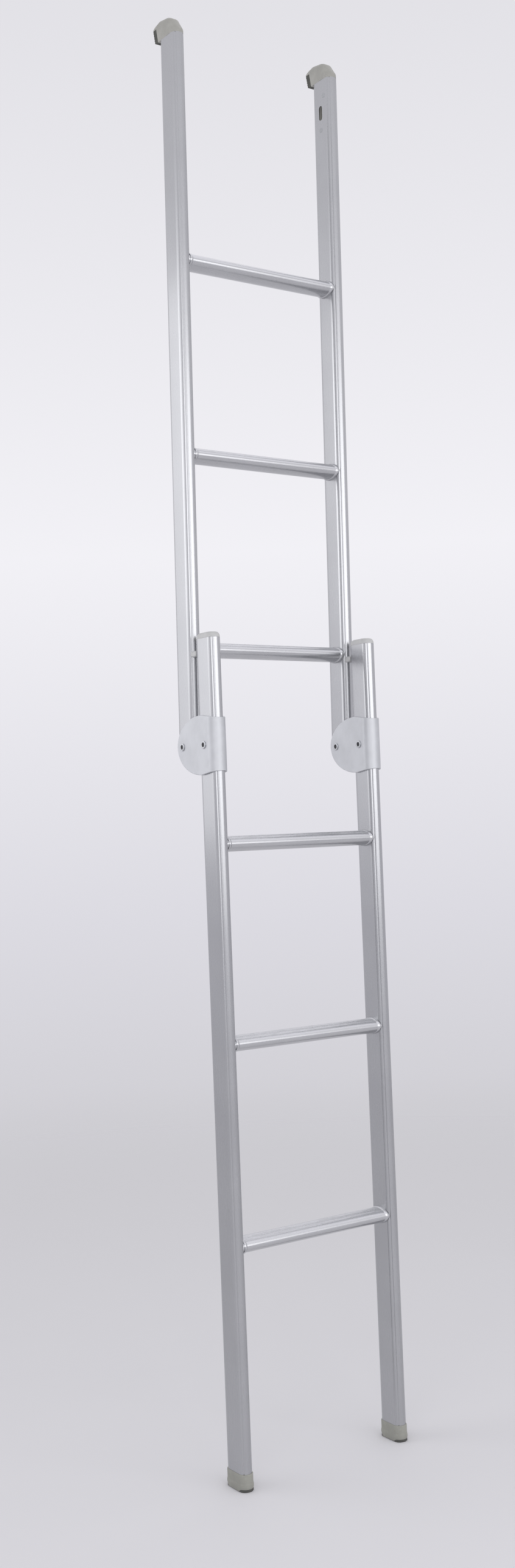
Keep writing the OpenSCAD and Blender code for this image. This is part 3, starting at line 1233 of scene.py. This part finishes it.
BUFFER_HALF = 7.5 * MM
BUFFER_EDGE = 1.2 * MM
BUFFER_CORNER = 2 * MM
BUFFER_TAPER = 0.86


def stop_buffer():
    """A buffer block whose back is hollowed to sit on the stile's nose."""
    low, high = local_box("stop_buffer_left", side_place("stop_buffer_left"))
    half_angle = math.degrees(math.asin(BUFFER_HALF / SLEEVE_HALF))
    nose = arc_points((0.0, NOSE_Y), SLEEVE_HALF, -90 + half_angle, -90 - half_angle, steps=12)
    corner_x = BUFFER_HALF - BUFFER_CORNER
    corner_y = low.y + BUFFER_CORNER
    face = arc_points((-corner_x, corner_y), BUFFER_CORNER, 180, 270, steps=5)
    face += arc_points((corner_x, corner_y), BUFFER_CORNER, 270, 360, steps=5)
    outline = face + nose
    inner = [(x * BUFFER_TAPER, y + (BUFFER_EDGE if y < corner_y else 0.0)) for x, y in face]
    for x, _ in nose:
        inner.append((x * BUFFER_TAPER, NOSE_Y - math.sqrt(SLEEVE_HALF**2 - (x * BUFFER_TAPER) ** 2)))
    edge = BUFFER_EDGE
    heights = [(low.z, inner), (low.z + edge, outline), (high.z - edge, outline), (high.z, inner)]
    return Shell().loft([at_height(points, z) for z, points in heights])


class LADDER_OT_buffers(Operator):
    """Mould the buffers that hold the open ladder straight"""

    bl_idname = "ladder.buffers"
    bl_label = "Stop buffers"

    def execute(self, context):
        add_pair("stop_buffer", "moulding", stop_buffer, "moulded_buffer")
        return {"FINISHED"}


# ---- lower ends and feet ----


END_CAP_EDGE = 7 * MM
END_CAP_SIDE_EDGE = 3 * MM
END_CAP_BEVEL = 0.3 * MM
END_CAP_STEPS = 6


def end_cap(shape):
    """A plug with a rounded head that closes the top of a lower stile."""
    low, high = local_box("lower_end_cap_left", side_place("lower_end_cap_left"))
    seat = LOWER_TUBE[1].z
    gap = shape.stile_wall + FIT
    sections = [(gap, gap, low.z), (gap, gap, seat), (END_CAP_BEVEL, END_CAP_BEVEL, seat)]
    sections.append((0.0, 0.0, seat + END_CAP_BEVEL))
    for turn in even_turns(END_CAP_STEPS, QUARTER_TURN):
        sunk = 1 - math.cos(turn)
        z = high.z - END_CAP_EDGE * (1 - math.sin(turn))
        sections.append((END_CAP_SIDE_EDGE * sunk, END_CAP_EDGE * sunk, z))
    turns = even_turns(steps=20)
    outlines = [at_height(stadium(STILE_HALF - x, STILE_REACH - y, turns), z) for x, y, z in sections]
    return Shell().loft(outlines)


class LADDER_OT_end_caps(Operator):
    """Mould the caps on the tops of the lower stiles"""

    bl_idname = "ladder.end_caps"
    bl_label = "Lower end caps"

    def execute(self, context):
        make = partial(end_cap, context.scene.ladder_shape)
        add_pair("lower_end_cap", "moulding", make, "moulded_buffer")
        return {"FINISHED"}


FOOT_BOX = local_box("foot_cap_left", side_place("foot_cap_left"))
FOOT_HALF = FOOT_BOX[1].x
FOOT_REACH = FOOT_BOX[1].y
FOOT_TOP = FOOT_BOX[1].z
SOLE_TOP = FOOT_BOX[0].z
SOLE_THICKNESS = 4 * MM
GROUND = SOLE_TOP - SOLE_THICKNESS
FOOT_TURNS = even_turns(steps=28)
SKIRT = 1.1 * MM
SKIRT_BOTTOM = 1.2 * MM
TOE_PROFILE = ((5.5 * MM, 0.7), (7 * MM, 1.0), (9 * MM, 0.9), (11 * MM, 0.25), (12.5 * MM, 0.0))
RIM = 1.3 * MM
RIM_INSET = 0.95 * RIM
RIM_TURNS = even_turns(5, QUARTER_TURN)
MOUTH_DROP = 0.1 * MM
SOLE_GAP = 0.03 * MM
SOLE_EDGE = 0.5 * MM
SOLE_GROOVES = 4
SOLE_PITCH = 8 * MM
SOLE_GROOVE_HALF = 1.5 * MM
SOLE_GROOVE_TAPER = 0.8
SOLE_GROOVE_DEPTH = 1.2 * MM


def nose_share(y):
    """0 along a foot's straight sides, 1 at its noses."""
    share = min(max((abs(y) + NOSE_Y) / (0.5 * STILE_HALF), 0.0), 1.0)
    return share * share * (3 - 2 * share)


def foot_outline(grow):
    """A foot's outline, grown or shrunk all round."""
    return stadium(FOOT_HALF + grow, FOOT_REACH + grow, FOOT_TURNS)


def sole_outline(grow):
    """The sole's outline: inside the foot's skirt at the sides and flush at the noses."""
    points = []
    for (x, y), (inner_x, inner_y) in zip(foot_outline(grow), foot_outline(grow - SKIRT)):
        share = nose_share(y)
        points.append((inner_x + (x - inner_x) * share, inner_y + (y - inner_y) * share))
    return points


def foot_cap(shape):
    """A foot: a shoe with a flared toe, a rolled upper rim and a skirt beside its sole."""
    sole = sole_outline(0.0)
    outer = foot_outline(0.0)
    skirt = SOLE_THICKNESS - SKIRT_BOTTOM + FIT
    hem = [GROUND + SKIRT_BOTTOM + skirt * nose_share(y) for _, y in outer]
    outlines = [at_height(sole, SOLE_TOP + MOUTH_DROP)]
    for outline in (sole, outer):
        outlines.append([(x, y, z) for (x, y), z in zip(outline, hem)])
    for height, swell in TOE_PROFILE:
        outlines.append(at_height(foot_outline(shape.foot_flare * swell), GROUND + height))
    for turn in RIM_TURNS:
        z = FOOT_TOP - RIM * (1 - math.sin(turn))
        outlines.append(at_height(foot_outline(-RIM_INSET * (1 - math.cos(turn))), z))
    mouth = stadium(STILE_HALF + FIT, STILE_REACH + FIT, FOOT_TURNS)
    outlines.append(at_height(mouth, FOOT_TOP - MOUTH_DROP))
    outlines.append(at_height(mouth, LOWER_TUBE[0].z))
    return Shell().loft(outlines)


def foot_sole():
    """A rubber sole that is flush with the foot at its noses."""
    outline = sole_outline(-SOLE_GAP)
    heights = [(GROUND, sole_outline(-SOLE_EDGE)), (GROUND + SOLE_EDGE, outline), (SOLE_TOP, outline)]
    return Shell().loft([at_height(points, z) for z, points in heights])


def sole_cuts():
    """The grooves across a sole."""
    shell = Shell()
    low, high = GROUND - SOLE_GROOVE_DEPTH, GROUND + SOLE_GROOVE_DEPTH
    half = SOLE_GROOVE_HALF
    top = half * SOLE_GROOVE_TAPER
    for index in range(SOLE_GROOVES):
        y = (index - (SOLE_GROOVES - 1) / 2) * SOLE_PITCH
        outline = [(y - half, low), (y + half, low), (y + top, high), (y - top, high)]
        add_prism(shell, outline, -2 * STILE_HALF, 2 * STILE_HALF)
    return shell


class LADDER_OT_feet(Operator):
    """Mould the feet and their rubber soles"""

    bl_idname = "ladder.feet"
    bl_label = "Feet"

    def execute(self, context):
        make = partial(foot_cap, context.scene.ladder_shape)
        add_pair("foot_cap", "moulding", make, "moulded_foot")
        add_pair("foot_sole", "rubber", foot_sole, "grained_rubber", cuts=sole_cuts)
        return {"FINISHED"}


INNER_PIECES = {
    "milky_nylon": ("pivot_bush_left", "pivot_bush_right", "pivot_washers"),
    "moulded_plug": ("upper_end_plug_left", "upper_end_plug_right"),
}


class LADDER_OT_inner_pieces(Operator):
    """Give the bushes, washers and end plugs their finishes"""

    bl_idname = "ladder.inner_pieces"
    bl_label = "Inner pieces"

    def execute(self, context):
        for finish, nodes in INNER_PIECES.items():
            for node in nodes:
                for place in frame["nodes"][node].material_slots:
                    place.material = get_finish(finish)
        return {"FINISHED"}


# ---- stage ----


BACKDROP = [
    (0.20, (0.64, 0.635, 0.68)),
    (0.386, (0.60, 0.593, 0.625)),
    (0.473, (0.716, 0.708, 0.76)),
    (0.586, (0.888, 0.880, 0.92)),
    (0.73, (0.768, 0.761, 0.80)),
    (1.0, (0.66, 0.655, 0.69)),
]
CEILING_SPAN = (0.42, 0.8)
FLOOR_RADIUS = 5.0
FLOOR_FADE = (0.8, 3.6)
FLOOR_CLOUDS = 1.4
# Each lamp: where it stands, the point that it faces, and its width and height
LAMPS = {
    "key": ((0.3, -2.8, 1.55), (0.0, 0.0, 1.3), (2.8, 1.6)),
    "fill": ((-1.9, -2.1, 1.6), (0.0, 0.0, 1.3), (1.6, 1.6)),
    "side": ((-2.6, 1.2, 2.1), (0.0, 0.0, 1.3), (2.6, 1.3)),
    "near": ((-0.70, 0.50, 1.42), (-0.14, 0.0, 1.4), (0.54, 1.07)),
}


def add_world(stage):
    """Pale backdrop for what is seen directly or reflected, and even light for the rest."""
    world = bpy.data.worlds.new("studio")
    world.use_nodes = True
    shader = Shader(world.node_tree)
    height = shader.axis(shader.place("Generated"), "Z")
    climb = height * 0.5 + 0.5
    sweep = shader.node("ShaderNodeValToRGB", {"stops": BACKDROP}, {"Fac": climb}, output="Color")
    seen = shader.node("ShaderNodeLightPath", output="Is Camera Ray")
    glossy = shader.also(seen, "Is Glossy Ray")
    passed = shader.also(seen, "Is Transmission Ray")
    direct = shader.maths("ADD", seen + glossy, passed, clamp=True)
    plain = shader.node("ShaderNodeBackground", inputs={"Color": (1, 1, 1, 1), "Strength": stage.room_light})
    ceiling = 1.0 + glossy * shader.between(height, *CEILING_SPAN) * stage.ceiling_light
    shown = shader.node("ShaderNodeBackground", inputs={"Color": sweep, "Strength": ceiling})
    mixed = shader.node("ShaderNodeMixShader", inputs={0: direct, 1: plain, 2: shown})
    shader.node("ShaderNodeOutputWorld", inputs={"Surface": mixed})
    bpy.context.scene.world = world


def add_floor(stage):
    """A pale floor that fades into the backdrop away from the ladder."""
    shell = bmesh.new()
    bmesh.ops.create_circle(shell, cap_ends=True, radius=FLOOR_RADIUS, segments=96)
    data = bpy.data.meshes.new("floor")
    shell.to_mesh(data)
    shell.free()
    floor = bpy.data.objects.new("floor", data)
    bpy.context.scene.collection.objects.link(floor)
    material = bpy.data.materials.new("studio_floor")
    material.use_nodes = True
    shader = Shader(material.node_tree)
    place = shader.place()
    clouds = shader.noise(place, FLOOR_CLOUDS)
    base = tuple(stage.floor)
    tone = shader.blend(clouds, shade(base, 0.985), shade(base, 1.015))
    solid = 1.0 - shader.between(shader.length(place), *FLOOR_FADE)
    surface = shader.node(
        "ShaderNodeBsdfPrincipled", inputs={"Base Color": tone, "Roughness": 0.7, "Alpha": solid}
    )
    shader.node("ShaderNodeOutputMaterial", inputs={"Surface": surface})
    data.materials.append(material)


def add_lamp(name, place, aim, size, power):
    """A soft lamp that isn't seen itself."""
    light = bpy.data.lights.new(name, "AREA")
    light.shape = "RECTANGLE"
    light.size, light.size_y = size
    light.energy = power
    lamp = bpy.data.objects.new(name, light)
    bpy.context.scene.collection.objects.link(lamp)
    lamp.location = place
    lamp.visible_camera = False
    lamp.rotation_euler = (Vector(aim) - Vector(place)).to_track_quat("-Z", "Y").to_euler()


def add_camera(stage):
    """A camera on a line from its aim, at the stage's angles and distance."""
    aim = Vector(stage.aim)
    flat = math.cos(stage.elevation)
    back = Vector((
        math.sin(stage.azimuth) * flat,
        -math.cos(stage.azimuth) * flat,
        math.sin(stage.elevation),
    ))
    camera = bpy.data.objects.new("camera", bpy.data.cameras.new("camera"))
    bpy.context.scene.collection.objects.link(camera)
    camera.data.lens = stage.lens
    turn = (-back).to_track_quat("-Z", "Y").to_matrix() @ Matrix.Rotation(stage.roll, 3, "Z")
    camera.matrix_world = Matrix.Translation(aim + back * stage.distance) @ turn.to_4x4()
    bpy.context.scene.camera = camera


class LADDER_OT_stage(Operator):
    """Set up the floor, the backdrop, the lamps and the camera"""

    bl_idname = "ladder.stage"
    bl_label = "Stage"

    def execute(self, context):
        stage = context.scene.ladder_stage
        context.scene.view_settings.view_transform = "Standard"
        add_camera(stage)
        add_world(stage)
        add_floor(stage)
        for name, lamp in LAMPS.items():
            add_lamp(name, *lamp, getattr(stage, f"{name}_power"))
        return {"FINISHED"}


# ---- add-on ----


STEPS = (
    LADDER_OT_stage,
    LADDER_OT_stiles,
    LADDER_OT_rungs,
    LADDER_OT_top_caps,
    LADDER_OT_rest_pads,
    LADDER_OT_cap_rivets,
    LADDER_OT_brackets,
    LADDER_OT_pins,
    LADDER_OT_buffers,
    LADDER_OT_end_caps,
    LADDER_OT_feet,
    LADDER_OT_inner_pieces,
)


class LADDER_PT_steps(Panel):
    """Buttons for each group of pieces, and the ladder's sizes, colours and stage"""

    bl_idname = "LADDER_PT_steps"
    bl_label = "Folding ladder"
    bl_space_type = "VIEW_3D"
    bl_region_type = "UI"
    bl_category = "Ladder"

    def draw(self, context):
        for step in STEPS:
            self.layout.operator(step.bl_idname)
        for name, kind in GROUPS.items():
            for value in kind.__annotations__:
                self.layout.prop(getattr(context.scene, name), value)


GROUPS = {"ladder_shape": LadderShape, "ladder_finish": LadderFinish, "ladder_stage": LadderStage}
CLASSES = (*GROUPS.values(), *STEPS, LADDER_PT_steps)


def register():
    for made in CLASSES:
        bpy.utils.register_class(made)
    for name, kind in GROUPS.items():
        setattr(bpy.types.Scene, name, PointerProperty(type=kind))


def unregister():
    for name in GROUPS:
        delattr(bpy.types.Scene, name)
    for made in reversed(CLASSES):
        bpy.utils.unregister_class(made)


def main():
    register()
    for step in STEPS:
        group, name = step.bl_idname.split(".")
        getattr(getattr(bpy.ops, group), name)()


if __name__ == "__main__":
    main()
